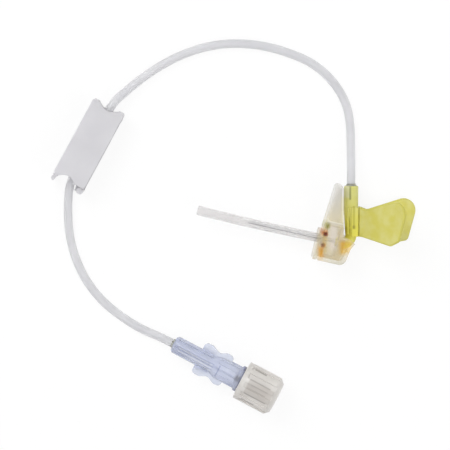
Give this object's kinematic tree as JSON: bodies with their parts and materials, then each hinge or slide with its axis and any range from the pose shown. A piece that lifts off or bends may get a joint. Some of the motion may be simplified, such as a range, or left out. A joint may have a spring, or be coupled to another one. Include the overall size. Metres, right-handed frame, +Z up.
{
  "type": "huber needle",
  "caption": "Safety huber needle set with bent cannula, butterfly wings, sliding clear guard, sheath, extension tubing, pinch clamp and capped luer connector.",
  "frame": {"origin": "on the table, under the needle's axis, in the flat side face that the guard lies on", "axes": "+Y up the hub towards its tubing, +X away from the needle's point, +Z up from the table"},
  "size_m": [0.1037, 0.107, 0.0176],
  "materials": {
    "steel": "drawn, satin",
    "yellow_hub": "moulded, tinted, slightly translucent",
    "yellow_wing": "moulded, soft, slightly translucent",
    "clear_housing": "moulded, clear with a grey cast",
    "orange_clip": "moulded, tinted",
    "clear_sheath": "extruded, clear",
    "clear_tubing": "extruded, clear, soft",
    "white_clamp": "moulded, milky",
    "lavender_luer": "moulded, tinted clear",
    "white_cap": "moulded, natural, cloudy"
  },
  "bodies": {
    "hub": {"hub_body": "yellow_hub", "needle_cannula": "steel", "tubing": "clear_tubing", "clamp_base": "white_clamp", "luer_connector": "lavender_luer"},
    "guard": {"guard_shell": "clear_housing", "foot_plate": "clear_housing", "latch_clip": "orange_clip"},
    "sheath": {"needle_sheath": "clear_sheath"},
    "upper_wing": {"wing_upper": "yellow_wing"},
    "lower_wing": {"wing_lower": "yellow_wing"},
    "clamp_arm": {"clamp_lever": "white_clamp"},
    "cap": {"luer_cap": "white_cap"}
  },
  "joints": [
    {"name": "guard_slide", "type": "slide", "parent": "hub", "child": "guard", "axis": [0.9751, -0.2215, 0], "range_m": [-0.024, 0]},
    {"name": "sheath_pull", "type": "slide", "parent": "guard", "child": "sheath", "axis": [-0.9751, 0.2215, 0], "range_m": [0, 0.024]},
    {"name": "upper_wing_fold", "type": "hinge", "parent": "hub", "child": "upper_wing", "pos_m": [0.0075, 0.00565, 0.00635], "axis": [0, -1, 0], "range_deg": [-45.4, 47], "stiffness_Nm_per_rad": 0.001},
    {"name": "lower_wing_fold", "type": "hinge", "parent": "hub", "child": "lower_wing", "pos_m": [0.0075, 0.00565, 0.00365], "axis": [0, 1, 0], "range_deg": [-13.4, 78.8], "stiffness_Nm_per_rad": 0.001},
    {"name": "clamp_pinch", "type": "hinge", "parent": "hub", "child": "clamp_arm", "pos_m": [-0.0645, 0.03731, 0.006], "axis": [0.878, -0.4787, 0], "range_deg": [0, 9.9], "stiffness_Nm_per_rad": 0.004, "deforming": ["tubing"]},
    {"name": "cap_off", "type": "slide", "parent": "hub", "child": "cap", "axis": [0.8818, -0.4493, 0.1437], "range_m": [0, 0.012]}
  ]
}
